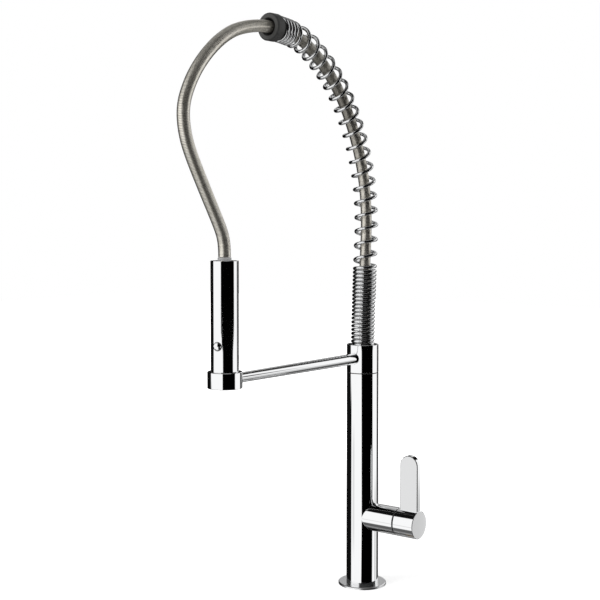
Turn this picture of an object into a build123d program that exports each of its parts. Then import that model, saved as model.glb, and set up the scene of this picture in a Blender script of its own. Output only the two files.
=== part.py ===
from build123d import *
import math
import os

os.makedirs("parts", exist_ok=True)

# A sprung kitchen mixer: a slim column with a side lever, a swivelling sleeve that carries a docking arm
# and a spring arch, and a pull-down spray on a flexible hose. Millimetres, +Z up, origin at the centre of
# the base on the counter. The arm reaches out along -Y, the lever stands off along +X and the arch lies in
# the plane X = 0.

# ---------------------------------------------------------------- clearances
PLAY = 0.3  # between pieces that move past each other
RUN = 0.05  # radial, shafts and stems in their bearings
SEAT = 0.05  # radial, pieces screwed or pressed into each other
CUT_PAST = 1.0  # by which a cut runs past the face it opens

# ---------------------------------------------------------------- column and foot
COLUMN_D = 38.0
COLUMN_WALL = 2.5
COLUMN_TOP = 254.9
FLANGE_D = 57.0
FLANGE_T = 2.6
FLANGE_EDGE = 0.7
GASKET_D = 49.0
GASKET_W = 4.0
GASKET_T = 1.4
SHANK_D = 33.0
SHANK_DROP = 52.0
SHANK_BORE_D = 27.0
SHANK_RELIEF = 0.5
SHANK_GRIP = 18.0
SHANK_NECK_CUT = 0.7

# ---------------------------------------------------------------- side valve, from the column's axis
VALVE_Z = 82.7
STUB_D = 32.4
STUB_END = 51.5
STUB_EDGE = 0.4
CARTRIDGE_D = 27.0
CARTRIDGE_FLOOR = 8.0
CARTRIDGE_L = 28.0
CARTRIDGE_WALL = 1.9
SEAL_T = 2.5
DISC_T = 4.0
SPINDLE_FLANGE_T = 3.5
THRUST_T = 1.5
NECK_BORE_D = 18.0
FRONT_WALL = 3.0
STEM_D = 12.0
STEM_SEAL_L = 3.4
NUT_D = 29.2
NUT_L = 7.0
NUT_BORE_D = 18.0
NUT_SLOT = 4.0
DRIVE_D = 10.0
DRIVE_L = 15.0
DRIVE_FLAT = 1.4
PORT_D = 6.0
PORT_Y = 6.5
PORT_DROP = 4.0
PORT_RISE = 7.0
BLOCK_DOWN = 26.0
BLOCK_UP = 27.0
INLET_D = 9.0
INLET_L = 14.0
INLET_X = -2.0
RISER_D = 12.0
RISER_WALL = 1.0
RISER_GRIP = 10.0

# ---------------------------------------------------------------- lever
SEAM_RING_T = 0.9
SEAM_RING_CUT = 0.6
HUB_L = 26.6
HUB_EDGE = 0.5
SKIRT_L = 6.6
SKIRT_WALL = 2.6
BLADE_W = 23.7
BLADE_T = 7.4
BLADE_TOP = 162.8
BLADE_EDGE = 0.8
SCREW_D = 5.0
SCREW_L = 8.0
SCREW_HEX = 2.5
SCREW_HEX_DEPTH = 2.5

# ---------------------------------------------------------------- swivel
SLEEVE_L = 33.1
WASHER_T = 0.7
WASHER_W = 1.8
BUSH_WALL = 1.6
CORE_BORE_D = 18.0
CORE_GRIP = 22.0
CORE_HEAD_ROOM = 1.2
BUSH_L = 16.6
CORE_SEAL_W = 2.4
CORE_SEAL_DEPTH = 1.6
CORE_SEAL_GAP = 4.4
LIP_T = 3.2
LIP_D = 30.6
CLIP_T = 1.2
CLIP_W = 2.4
CAP_T = 8.0
SLEEVE_EDGE = 0.4

# ---------------------------------------------------------------- arm and ring
REACH = 251.0
ARM_DROP = 16.1  # below the top of the sleeve
ARM_ROOT_D = 13.2
ARM_TIP_D = 10.6
ARM_SOCKET = 2.3
RING_D = 35.8
RING_H = 17.1
RING_UNDER = 8.2  # below the axis of the arm
RING_WALL = 2.9
RING_EDGE = 0.5
RING_SOCKET = 1.6
LINER_WALL = 2.05
LINER_SINK = 2.0
LINER_RISE = 1.0
LINER_LEAD = 0.8

# ---------------------------------------------------------------- hand spray
SPRAY_D = 28.7
SPRAY_WALL = 1.6
SPRAY_L = 129.8  # from the bottom of the ring to the top of the spray
SPRAY_EDGE = 0.4
SPRAY_LID = 2.5
NOZZLE_T = 2.6
NOZZLE_LIP = 1.2
JET_D = 1.3
JETS = 12
JET_CIRCLE_D = 20.4
AERATOR_D = 15.0
AERATOR_L = 10.0
AERATOR_CELL = 1.9
AERATOR_PITCH = 2.9
CORE_TUBE_DROP = 27.5
WATERWAY_D = 11.0
CHECK_D = 18.0
CHECK_BORE_D = 9.0
CHECK_L = 12.0
CHECK_FLAP_T = 3.0
COUPLER_D = 24.0
FERRULE_D = 14.0
FERRULE_UP = 3.2
FERRULE_GRIP = 10.0
BUTTON_RISE = 43.6  # above the bottom of the ring
BUTTON_D = 9.0
BUTTON_TURN = 9.0
BUTTON_PROUD = 1.2
BUTTON_DOME = 0.9
BUTTON_FLANGE_D = 11.0
BUTTON_FLANGE_T = 1.0
BUTTON_TRAVEL = 2.0
SPOOL_D = 4.0
SPOOL_L = 9.0
SPRING_WIRE = 0.6
SPRING_D = 8.0
SPRING_TURNS = 3

# ---------------------------------------------------------------- hose and spring arch
HOSE_D = 13.0
HOSE_BORE_D = 8.4
HOSE_SIDES = 16
NIPPLE_L = 15.0
NIPPLE_WALL = 1.0
NIPPLE_FLANGE_D = 16.0
NIPPLE_FLANGE_T = 1.8
ARCH_SEAT = 4.0
ARCH_D = 28.4
WIRE_D = 4.1
WIRE_SIDES = 4
CLOSE_PITCH = 4.55
CLOSE_TURNS = 20
OPEN_PITCH = 16.9
END_PITCH = 5.2
END_TURNS = 3
PITCH_BLEND = 1.0
TANG_DROP = 3.4
TANG_REACH = 4.6
COLLAR_D = 29.4
COLLAR_L = 13.0
COLLAR_SPIGOT_D = 19.4
COLLAR_SPIGOT_L = 9.0
COLLAR_MOUTH_D = 19.0
COLLAR_EDGE = 1.6
FIRST_TIP_RISE = 100.2  # above the top of the sleeve
FIRST_TIP_TURN = 217.0

# (Y, rise) of the hose axis from the sleeve towards the collar, on X = 0; rises count from the sleeve's top
ARCH_POINTS = [
    (0.0, 20.0),
    (2.2, 56.0),
    (4.4, 101.0),
    (8.0, 147.0),
    (2.2, 198.0),
    (-17.2, 248.0),
    (-47.5, 294.0),
    (-84.5, 325.6),
]
COLLAR_AT = (-167.5, 350.7)
COLLAR_DIP = 1.5  # degrees by which the collar points down towards its mouth
COLLAR_LEAD = 34.0  # straight stretch of the hose behind the collar
MOUTH_LEAD = 14.0  # from the collar's mouth to the first bend of the free hose

# (Y, rise) of the free hose between its first bend and the spray
FREE_POINTS = [
    (-229.7, 342.0),
    (-253.3, 329.8),
    (-274.3, 313.4),
    (-291.3, 295.1),
    (-303.2, 277.0),
    (-311.4, 257.0),
    (-310.6, 236.0),
    (-303.3, 214.5),
    (-282.3, 179.0),
    (-262.7, 147.5),
    (-253.9, 131.9),
]
SPRAY_LEAD = 10.2  # straight stretch of the hose above the ferrule
BEND_SHARE = 0.45  # share of the shorter run that the bend at a corner takes
NEAR = 0.002  # turns to either side of a point, for the direction of a wound wire
SAMPLES = 50  # points to the turn, for the free space between turns

# ---------------------------------------------------------------- derived places
column_r = COLUMN_D / 2
column_bore_r = column_r - COLUMN_WALL
shank_r = SHANK_D / 2
stub_r = STUB_D / 2
cartridge_r = CARTRIDGE_D / 2
sleeve_bottom = COLUMN_TOP + WASHER_T + PLAY
sleeve_top = sleeve_bottom + SLEEVE_L
arm_z = sleeve_top - ARM_DROP
ring_bottom = arm_z - RING_UNDER
ring_top = ring_bottom + RING_H
spray_top = ring_bottom + SPRAY_L
button_z = ring_bottom + BUTTON_RISE
core_tube_top = spray_top - CORE_TUBE_DROP
ring_axis = (0.0, -REACH)
ring_r = RING_D / 2
ring_bore_r = ring_r - RING_WALL
spray_r = SPRAY_D / 2
spray_bore_r = spray_r - SPRAY_WALL
liner_top = ring_top - LINER_SINK
liner_bore_r = ring_bore_r - SEAT - LINER_WALL
spray_bottom = liner_top + PLAY
nose_r = liner_bore_r - PLAY
seal_front = CARTRIDGE_FLOOR + SEAL_T
fixed_front = seal_front + DISC_T
moving_back = fixed_front + RUN
moving_front = moving_back + DISC_T
flange_front = moving_front + SPINDLE_FLANGE_T
thrust_back = flange_front + RUN
thrust_front = thrust_back + THRUST_T
cartridge_front = CARTRIDGE_FLOOR + CARTRIDGE_L
cartridge_bore_r = cartridge_r - SEAT - CARTRIDGE_WALL
nut_front = cartridge_front + NUT_L
hub_back = STUB_END + SEAM_RING_T + PLAY
hub_front = hub_back + HUB_L
skirt_back = hub_back - SKIRT_L
block_bottom = VALVE_Z - BLOCK_DOWN
block_top = VALVE_Z + BLOCK_UP
core_bottom = COLUMN_TOP - CORE_GRIP
core_r = column_bore_r - SEAT - BUSH_WALL - RUN
bush_top = sleeve_bottom + BUSH_L
lip_top = bush_top + LIP_T
cap_bottom = sleeve_top - CAP_T
core_top = cap_bottom - NIPPLE_FLANGE_T - CORE_HEAD_ROOM
arch_floor = sleeve_top - ARCH_SEAT
arch_r = (ARCH_D - WIRE_D) / 2
valve_axis = Plane(origin=(0, 0, VALVE_Z), x_dir=(0, 1, 0), z_dir=(1, 0, 0))
nodes = []


def keep(part, name):
    """Label one finished piece and write it out."""
    part.label = name
    nodes.append(part)
    export_step(part, f"parts/{name}.step")


# ================================================================ foot and column
with BuildPart() as base_flange:
    with BuildSketch():
        Circle(FLANGE_D / 2)
        Circle(shank_r + 2 * SEAT, mode=Mode.SUBTRACT)
    extrude(amount=FLANGE_T)
    chamfer(base_flange.faces().sort_by(Axis.Z)[-1].outer_wire().edges(), FLANGE_EDGE)
    with BuildSketch():
        Circle(GASKET_D / 2)
        Circle(GASKET_D / 2 - GASKET_W, mode=Mode.SUBTRACT)
    extrude(amount=GASKET_T, mode=Mode.SUBTRACT)
keep(base_flange.part, "base_flange")

with BuildPart() as base_gasket:
    with BuildSketch():
        Circle(GASKET_D / 2 - SEAT)
        Circle(GASKET_D / 2 - GASKET_W + SEAT, mode=Mode.SUBTRACT)
    extrude(amount=GASKET_T)
keep(base_gasket.part, "base_gasket")

with BuildPart() as column_body:
    with BuildSketch(Plane.XY.offset(FLANGE_T)):
        Circle(column_r)
    extrude(amount=COLUMN_TOP - FLANGE_T)
    with BuildSketch(valve_axis):
        Circle(stub_r)
    extrude(amount=STUB_END)
    chamfer(column_body.faces().sort_by(Axis.X)[-1].edges(), STUB_EDGE)
    with BuildSketch(Plane.XY.offset(FLANGE_T)):
        Circle(column_bore_r)
    extrude(amount=COLUMN_TOP - FLANGE_T, mode=Mode.SUBTRACT)
    with BuildSketch(valve_axis):
        Circle(cartridge_r)
    extrude(amount=STUB_END, mode=Mode.SUBTRACT)
    with BuildSketch(valve_axis.offset(cartridge_front)):
        Circle(NUT_D / 2)
    extrude(amount=STUB_END - cartridge_front, mode=Mode.SUBTRACT)
keep(column_body.part, "column_body")

with BuildPart() as mounting_shank:
    with BuildSketch(Plane.XY.offset(-SHANK_DROP)):
        Circle(shank_r)
    extrude(amount=SHANK_DROP - SHANK_RELIEF)
    with BuildSketch(Plane.XY.offset(-SHANK_RELIEF)):
        Circle(shank_r - SHANK_NECK_CUT)
    extrude(amount=SHANK_RELIEF + FLANGE_T)
    with BuildSketch(Plane.XY.offset(FLANGE_T)):
        Circle(column_bore_r - SEAT)
    extrude(amount=SHANK_GRIP)
    with BuildSketch(Plane.XY.offset(-SHANK_DROP)):
        Circle(SHANK_BORE_D / 2)
    extrude(amount=SHANK_DROP + FLANGE_T + SHANK_GRIP, mode=Mode.SUBTRACT)
keep(mounting_shank.part, "mounting_shank")

# ================================================================ valve inside the column
with BuildPart() as valve_block:
    with BuildSketch(Plane.XY.offset(block_bottom)):
        Circle(column_bore_r - SEAT)
    extrude(amount=block_top - block_bottom)
    with BuildSketch(valve_axis.offset(CARTRIDGE_FLOOR)):
        Circle(cartridge_r)
    extrude(amount=column_r, mode=Mode.SUBTRACT)
    # threaded inlets from below, each with a gallery to its port
    with BuildSketch(Plane.XY.offset(block_bottom)):
        with Locations((INLET_X, PORT_Y), (INLET_X, -PORT_Y)):
            Circle(INLET_D / 2)
    extrude(amount=INLET_L, mode=Mode.SUBTRACT)
    with BuildSketch(Plane.XY.offset(block_bottom)):
        with Locations((INLET_X, PORT_Y), (INLET_X, -PORT_Y)):
            Circle(PORT_D / 2)
    extrude(amount=BLOCK_DOWN - PORT_DROP, mode=Mode.SUBTRACT)
    with BuildSketch(valve_axis.offset(INLET_X)):
        with Locations((PORT_Y, -PORT_DROP), (-PORT_Y, -PORT_DROP)):
            Circle(PORT_D / 2)
    extrude(amount=CARTRIDGE_FLOOR - INLET_X, mode=Mode.SUBTRACT)
    # mixed water: from the upper port to the riser on the column axis
    with BuildSketch(valve_axis):
        with Locations((0, PORT_RISE)):
            Circle(PORT_D / 2)
    extrude(amount=CARTRIDGE_FLOOR, mode=Mode.SUBTRACT)
    with BuildSketch(Plane.XY.offset(VALVE_Z + PORT_RISE)):
        Circle(RISER_D / 2 - RISER_WALL)
    extrude(amount=BLOCK_UP - PORT_RISE, mode=Mode.SUBTRACT)
    with BuildSketch(Plane.XY.offset(block_top - RISER_GRIP)):
        Circle(RISER_D / 2 + SEAT)
    extrude(amount=RISER_GRIP, mode=Mode.SUBTRACT)
keep(valve_block.part, "valve_block")

with BuildPart() as riser_pipe:
    with BuildSketch(Plane.XY.offset(block_top - RISER_GRIP)):
        Circle(RISER_D / 2)
        Circle(RISER_D / 2 - RISER_WALL, mode=Mode.SUBTRACT)
    extrude(amount=core_bottom + RISER_GRIP - (block_top - RISER_GRIP))
keep(riser_pipe.part, "riser_pipe")


def ports(plane):
    """The two inlet ports and the outlet port of a disc that faces along the valve axis."""
    with BuildSketch(plane) as holes:
        with Locations((PORT_Y, -PORT_DROP), (-PORT_Y, -PORT_DROP), (0, PORT_RISE)):
            Circle(PORT_D / 2)
    return holes.sketch


with BuildPart() as port_seal:
    with BuildSketch(valve_axis.offset(CARTRIDGE_FLOOR)):
        Circle(cartridge_bore_r - SEAT)
    extrude(amount=SEAL_T)
    extrude(ports(valve_axis.offset(CARTRIDGE_FLOOR)), amount=SEAL_T, mode=Mode.SUBTRACT)
keep(port_seal.part, "port_seal")

with BuildPart() as fixed_disc:
    with BuildSketch(valve_axis.offset(seal_front)):
        Circle(cartridge_bore_r - SEAT)
    extrude(amount=DISC_T)
    extrude(ports(valve_axis.offset(seal_front)), amount=DISC_T, mode=Mode.SUBTRACT)
keep(fixed_disc.part, "fixed_disc")

with BuildPart() as cartridge_housing:
    with BuildSketch(valve_axis.offset(CARTRIDGE_FLOOR)):
        Circle(cartridge_r - SEAT)
    extrude(amount=CARTRIDGE_L)
    with BuildSketch(valve_axis.offset(CARTRIDGE_FLOOR)):
        Circle(cartridge_bore_r)
    extrude(amount=thrust_front - CARTRIDGE_FLOOR, mode=Mode.SUBTRACT)
    with BuildSketch(valve_axis.offset(thrust_front)):
        Circle(NECK_BORE_D / 2)
    extrude(amount=cartridge_front - FRONT_WALL - thrust_front, mode=Mode.SUBTRACT)
    with BuildSketch(valve_axis.offset(thrust_front)):
        Circle(STEM_D / 2 + RUN)
    extrude(amount=cartridge_front - thrust_front, mode=Mode.SUBTRACT)
keep(cartridge_housing.part, "cartridge_housing")

with BuildPart() as thrust_ring:
    with BuildSketch(valve_axis.offset(thrust_back)):
        Circle(cartridge_bore_r - SEAT)
        Circle(STEM_D / 2 + PLAY, mode=Mode.SUBTRACT)
    extrude(amount=THRUST_T)
keep(thrust_ring.part, "thrust_ring")

with BuildPart() as stem_seal:
    with BuildSketch(valve_axis.offset(cartridge_front - FRONT_WALL - STEM_SEAL_L)):
        Circle(NECK_BORE_D / 2 - SEAT)
        Circle(STEM_D / 2 + RUN, mode=Mode.SUBTRACT)
    extrude(amount=STEM_SEAL_L)
keep(stem_seal.part, "stem_seal")

with BuildPart() as cartridge_nut:
    with BuildSketch(valve_axis.offset(cartridge_front)):
        Circle(NUT_D / 2 - SEAT)
        Circle(NUT_BORE_D / 2, mode=Mode.SUBTRACT)
    extrude(amount=NUT_L)
    # spanner slots across the front face
    with BuildSketch(valve_axis.offset(nut_front)):
        with PolarLocations(NUT_D / 2, 4):
            Rectangle(NUT_SLOT, NUT_SLOT)
    extrude(amount=-NUT_SLOT / 2, mode=Mode.SUBTRACT)
keep(cartridge_nut.part, "cartridge_nut")

with BuildPart() as seam_ring:
    with BuildSketch(valve_axis.offset(STUB_END)):
        Circle(stub_r - SEAM_RING_CUT)
        Circle(NUT_D / 2, mode=Mode.SUBTRACT)
    extrude(amount=SEAM_RING_T)
keep(seam_ring.part, "seam_ring")

# ================================================================ lever and what turns with it
drive_flat_z = -DRIVE_D / 2 + DRIVE_FLAT

with BuildPart() as lever_spindle:
    with BuildSketch(valve_axis.offset(moving_front)):
        Circle(cartridge_bore_r - PLAY)
    extrude(amount=SPINDLE_FLANGE_T)
    with BuildSketch(valve_axis.offset(flange_front)):
        Circle(STEM_D / 2)
    extrude(amount=hub_back - flange_front)
    with BuildSketch(valve_axis.offset(hub_back)):
        Circle(DRIVE_D / 2)
        with Locations((0, -DRIVE_D / 2)):
            Rectangle(DRIVE_D, 2 * DRIVE_FLAT, mode=Mode.SUBTRACT)
    extrude(amount=DRIVE_L)
keep(lever_spindle.part, "lever_spindle")

with BuildPart() as moving_disc:
    with BuildSketch(valve_axis.offset(moving_back)):
        Circle(cartridge_bore_r - PLAY)
    extrude(amount=DISC_T)
    # one kidney-shaped pocket joins the ports as the disc turns
    with BuildSketch(valve_axis.offset(moving_back)):
        SlotArc(
            CenterArc((0, 0), PORT_RISE, 60, 150),
            height=PORT_D,
        )
    extrude(amount=DISC_T / 2, mode=Mode.SUBTRACT)
keep(moving_disc.part, "moving_disc")

with BuildPart() as lever_handle:
    with BuildSketch(valve_axis.offset(hub_back)):
        Circle(stub_r)
    extrude(amount=HUB_L)
    chamfer(lever_handle.faces().filter_by(Plane.YZ).edges(), HUB_EDGE)
    # the blade stands on the hub, flush with its end face, with a half-round top
    with BuildSketch(Plane(origin=(0, BLADE_T / 2, VALVE_Z), x_dir=(1, 0, 0), z_dir=(0, -1, 0))) as blade:
        with Locations((hub_front - HUB_EDGE - BLADE_W / 2, (BLADE_TOP - VALVE_Z) / 2)):
            Rectangle(BLADE_W, BLADE_TOP - VALVE_Z)
        fillet(blade.vertices().group_by(Axis.Z)[-1], BLADE_W / 2 - SEAT)
    extrude(amount=BLADE_T)
    blade_rim = lever_handle.edges().filter_by_position(
        Axis.Z, VALVE_Z + stub_r, BLADE_TOP + CUT_PAST, (False, True)
    )
    chamfer(blade_rim, BLADE_EDGE)
    # skirt that runs inside the stub
    with BuildSketch(valve_axis.offset(skirt_back)):
        Circle(NUT_D / 2 - PLAY)
        Circle(NUT_D / 2 - PLAY - SKIRT_WALL, mode=Mode.SUBTRACT)
    extrude(amount=SKIRT_L)
    # drive socket with its flat, and the clearance for the thicker stem
    with BuildSketch(valve_axis.offset(hub_back)):
        Circle(DRIVE_D / 2 + SEAT)
        with Locations((0, -DRIVE_D / 2 - SEAT)):
            Rectangle(DRIVE_D + CUT_PAST, 2 * DRIVE_FLAT, mode=Mode.SUBTRACT)
    extrude(amount=DRIVE_L + PLAY, mode=Mode.SUBTRACT)
    # grub screw hole from below
    with BuildSketch(Plane.XY.offset(VALVE_Z - stub_r - CUT_PAST)):
        with Locations((hub_back + DRIVE_L / 2, 0)):
            Circle(SCREW_D / 2 + SEAT)
    extrude(amount=stub_r + CUT_PAST + drive_flat_z, mode=Mode.SUBTRACT)
keep(lever_handle.part, "lever_handle")

with BuildPart() as lever_screw:
    with BuildSketch(Plane.XY.offset(VALVE_Z + drive_flat_z - SCREW_L)):
        with Locations((hub_back + DRIVE_L / 2, 0)):
            Circle(SCREW_D / 2)
    extrude(amount=SCREW_L)
    with BuildSketch(Plane.XY.offset(VALVE_Z + drive_flat_z - SCREW_L)):
        with Locations((hub_back + DRIVE_L / 2, 0)):
            RegularPolygon(SCREW_HEX / 2, 6, major_radius=False)
    extrude(amount=SCREW_HEX_DEPTH, mode=Mode.SUBTRACT)
keep(lever_screw.part, "lever_screw")

# ================================================================ swivel between column and sleeve
seal_places = [sleeve_bottom + CORE_SEAL_GAP, sleeve_bottom + 2 * CORE_SEAL_GAP + CORE_SEAL_W]
clip_bottom = lip_top + PLAY

with BuildPart() as swivel_core:
    with BuildSketch(Plane.XY.offset(core_bottom)):
        Circle(column_bore_r - SEAT)
    extrude(amount=CORE_GRIP)
    with BuildSketch(Plane.XY.offset(COLUMN_TOP)):
        Circle(core_r)
    extrude(amount=core_top - COLUMN_TOP)
    with BuildSketch(Plane.XY.offset(core_bottom)):
        Circle(RISER_D / 2 + SEAT)
    extrude(amount=RISER_GRIP, mode=Mode.SUBTRACT)
    with BuildSketch(Plane.XY.offset(core_bottom + RISER_GRIP)):
        Circle(CORE_BORE_D / 2)
    extrude(amount=core_top - core_bottom - RISER_GRIP, mode=Mode.SUBTRACT)
    for place in seal_places:
        with BuildSketch(Plane.XY.offset(place)):
            Circle(core_r + CUT_PAST)
            Circle(core_r - CORE_SEAL_DEPTH, mode=Mode.SUBTRACT)
        extrude(amount=CORE_SEAL_W, mode=Mode.SUBTRACT)
    with BuildSketch(Plane.XY.offset(clip_bottom)):
        Circle(core_r + CUT_PAST)
        Circle(core_r - CLIP_W / 2, mode=Mode.SUBTRACT)
    extrude(amount=CLIP_T, mode=Mode.SUBTRACT)
keep(swivel_core.part, "swivel_core")

with BuildPart() as swivel_seals:
    for place in seal_places:
        with BuildSketch(Plane.XY.offset(place)):
            Circle(core_r)
            Circle(core_r - CORE_SEAL_DEPTH, mode=Mode.SUBTRACT)
        extrude(amount=CORE_SEAL_W)
keep(swivel_seals.part, "swivel_seals")

with BuildPart() as circlip:
    with BuildSketch(Plane.XY.offset(clip_bottom)):
        Circle(core_r + CLIP_W / 2)
        Circle(core_r - CLIP_W / 2, mode=Mode.SUBTRACT)
        # the open gap of the clip, with its two ends free
        with Locations((0, core_r)):
            Rectangle(CLIP_W * 2, CLIP_W * 3, mode=Mode.SUBTRACT)
    extrude(amount=CLIP_T)
keep(circlip.part, "circlip")

with BuildPart() as swivel_washer:
    with BuildSketch(Plane.XY.offset(COLUMN_TOP)):
        Circle(column_r - SLEEVE_EDGE)
        Circle(column_r - SLEEVE_EDGE - WASHER_W, mode=Mode.SUBTRACT)
    extrude(amount=WASHER_T)
keep(swivel_washer.part, "swivel_washer")

with BuildPart() as swivel_bush:
    with BuildSketch(Plane.XY.offset(sleeve_bottom)):
        Circle(column_bore_r - SEAT)
        Circle(core_r + RUN, mode=Mode.SUBTRACT)
    extrude(amount=BUSH_L)
keep(swivel_bush.part, "swivel_bush")

with BuildPart() as swivel_sleeve:
    with BuildSketch(Plane.XY.offset(sleeve_bottom)):
        Circle(column_r)
    extrude(amount=sleeve_top - sleeve_bottom)
    chamfer(swivel_sleeve.faces().sort_by(Axis.Z)[-1].edges(), SLEEVE_EDGE)
    with BuildSketch(Plane.XY.offset(sleeve_bottom)):
        Circle(column_bore_r)
    extrude(amount=bush_top - sleeve_bottom, mode=Mode.SUBTRACT)
    with BuildSketch(Plane.XY.offset(bush_top)):
        Circle(LIP_D / 2)
    extrude(amount=LIP_T, mode=Mode.SUBTRACT)
    with BuildSketch(Plane.XY.offset(lip_top)):
        Circle(column_bore_r)
    extrude(amount=sleeve_top - lip_top, mode=Mode.SUBTRACT)
    # socket of the arm
    with BuildSketch(Plane.XZ.offset(column_r - ARM_SOCKET)):
        with Locations((0, arm_z)):
            Circle(ARM_ROOT_D / 2 + SEAT)
    extrude(amount=ARM_SOCKET + CUT_PAST, mode=Mode.SUBTRACT)
keep(swivel_sleeve.part, "swivel_sleeve")

with BuildPart() as spring_seat:
    with BuildSketch(Plane.XY.offset(cap_bottom)):
        Circle(column_bore_r - SEAT)
        Circle(HOSE_BORE_D / 2 + 2 * SEAT, mode=Mode.SUBTRACT)
    extrude(amount=CAP_T)
    with BuildSketch(Plane.XY.offset(arch_floor)):
        Circle(ARCH_D / 2 + PLAY)
    extrude(amount=ARCH_SEAT, mode=Mode.SUBTRACT)
keep(spring_seat.part, "spring_seat")

with BuildPart() as hose_nipple:
    with BuildSketch(Plane.XY.offset(cap_bottom - NIPPLE_FLANGE_T)):
        Circle(NIPPLE_FLANGE_D / 2)
    extrude(amount=NIPPLE_FLANGE_T)
    with BuildSketch(Plane.XY.offset(cap_bottom)):
        Circle(HOSE_BORE_D / 2 - SEAT)
    extrude(amount=arch_floor - cap_bottom + NIPPLE_L)
    with BuildSketch(Plane.XY.offset(cap_bottom - NIPPLE_FLANGE_T)):
        Circle(HOSE_BORE_D / 2 - NIPPLE_WALL)
    extrude(amount=NIPPLE_FLANGE_T + arch_floor - cap_bottom + NIPPLE_L, mode=Mode.SUBTRACT)
keep(hose_nipple.part, "hose_nipple")

# ================================================================ docking arm and ring
arm_root_y = -(column_r - ARM_SOCKET)
arm_tip_y = -(REACH - ring_r + RING_SOCKET)

with BuildPart() as support_arm:
    with BuildSketch(Plane.XZ.offset(-arm_root_y)):
        with Locations((0, arm_z)):
            Circle(ARM_ROOT_D / 2)
    with BuildSketch(Plane.XZ.offset(-arm_tip_y)):
        with Locations((0, arm_z)):
            Circle(ARM_TIP_D / 2)
    loft(ruled=True)
keep(support_arm.part, "support_arm")

with BuildPart() as holder_ring:
    with BuildSketch(Plane.XY.offset(ring_bottom)):
        with Locations(ring_axis):
            Circle(ring_r)
    extrude(amount=RING_H)
    chamfer(holder_ring.edges(), RING_EDGE)
    with BuildSketch(Plane.XY.offset(ring_bottom)):
        with Locations(ring_axis):
            Circle(ring_bore_r)
    extrude(amount=RING_H, mode=Mode.SUBTRACT)
    with BuildSketch(Plane.XZ.offset(REACH - ring_r)):
        with Locations((0, arm_z)):
            Circle(ARM_TIP_D / 2 + SEAT)
    extrude(amount=RING_SOCKET, both=True, mode=Mode.SUBTRACT)
keep(holder_ring.part, "holder_ring")

with BuildPart() as holder_liner:
    with BuildSketch(Plane.XY.offset(ring_bottom + LINER_RISE)):
        with Locations(ring_axis):
            Circle(ring_bore_r - SEAT)
            Circle(liner_bore_r, mode=Mode.SUBTRACT)
    extrude(amount=liner_top - ring_bottom - LINER_RISE)
    chamfer(holder_liner.faces().sort_by(Axis.Z)[-1].inner_wires()[0].edges(), LINER_LEAD)
keep(holder_liner.part, "holder_liner")

# ================================================================ hand spray
button_out = Vector(math.sin(math.radians(BUTTON_TURN)), -math.cos(math.radians(BUTTON_TURN)), 0)
button_side = Vector(0, 0, 1).cross(button_out)


def button_plane(radius):
    """A plane square to the button's axis, at this distance from the spray's axis."""
    centre = Vector(ring_axis[0], ring_axis[1], button_z) + button_out * radius
    return Plane(origin=centre, x_dir=button_side, z_dir=button_out)


ferrule_top = spray_top + FERRULE_UP
flange_out = math.sqrt(spray_bore_r**2 - (BUTTON_FLANGE_D / 2) ** 2) - PLAY
flange_in = flange_out - BUTTON_FLANGE_T
well_floor = flange_in - BUTTON_TRAVEL - SPRING_WIRE * (SPRING_TURNS + 1) - PLAY
spool_in = well_floor - SPOOL_L
coupler_top = spray_top - SPRAY_LID
ferrule_bottom = coupler_top - FERRULE_GRIP

with BuildPart() as spray_shell:
    with BuildSketch(Plane.XY.offset(spray_bottom)):
        with Locations(ring_axis):
            Circle(spray_r)
    extrude(amount=spray_top - spray_bottom)
    chamfer(spray_shell.edges(), SPRAY_EDGE)
    with BuildSketch(Plane.XY.offset(spray_bottom)):
        with Locations(ring_axis):
            Circle(spray_bore_r)
    extrude(amount=spray_top - SPRAY_LID - spray_bottom, mode=Mode.SUBTRACT)
    with BuildSketch(Plane.XY.offset(spray_top - SPRAY_LID)):
        with Locations(ring_axis):
            Circle(FERRULE_D / 2 + SEAT)
    extrude(amount=SPRAY_LID, mode=Mode.SUBTRACT)
    with BuildSketch(button_plane(0)):
        Circle(BUTTON_D / 2 + PLAY)
    extrude(amount=spray_r + CUT_PAST, mode=Mode.SUBTRACT)
keep(spray_shell.part, "spray_shell")

with BuildPart() as spray_core:
    with BuildSketch(Plane.XY.offset(ring_bottom + NOZZLE_T)):
        with Locations(ring_axis):
            Circle(nose_r)
    extrude(amount=core_tube_top - ring_bottom - NOZZLE_T)
    # seat of the aerator, the waterway and the chamber of the check valve
    with BuildSketch(Plane.XY.offset(ring_bottom + NOZZLE_T)):
        with Locations(ring_axis):
            Circle(AERATOR_D / 2 + SEAT)
    extrude(amount=AERATOR_L - NOZZLE_T, mode=Mode.SUBTRACT)
    with BuildSketch(Plane.XY.offset(ring_bottom + AERATOR_L)):
        with Locations(ring_axis):
            Circle(WATERWAY_D / 2)
    extrude(amount=button_z - ring_bottom - AERATOR_L, mode=Mode.SUBTRACT)
    with BuildSketch(Plane.XY.offset(button_z + SPOOL_D)):
        with Locations(ring_axis):
            Circle(WATERWAY_D / 2)
    extrude(amount=core_tube_top - button_z - SPOOL_D, mode=Mode.SUBTRACT)
    with BuildSketch(Plane.XY.offset(core_tube_top - CHECK_L)):
        with Locations(ring_axis):
            Circle(CHECK_D / 2 + SEAT)
    extrude(amount=CHECK_L, mode=Mode.SUBTRACT)
    # well of the button and the cross bore of its spool
    with BuildSketch(button_plane(well_floor)):
        Circle(BUTTON_FLANGE_D / 2 + PLAY)
    extrude(amount=spray_r, mode=Mode.SUBTRACT)
    with BuildSketch(button_plane(spool_in - BUTTON_TRAVEL - CUT_PAST)):
        Circle(SPOOL_D / 2 + RUN)
    extrude(amount=spray_r, mode=Mode.SUBTRACT)
keep(spray_core.part, "spray_core")

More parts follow.
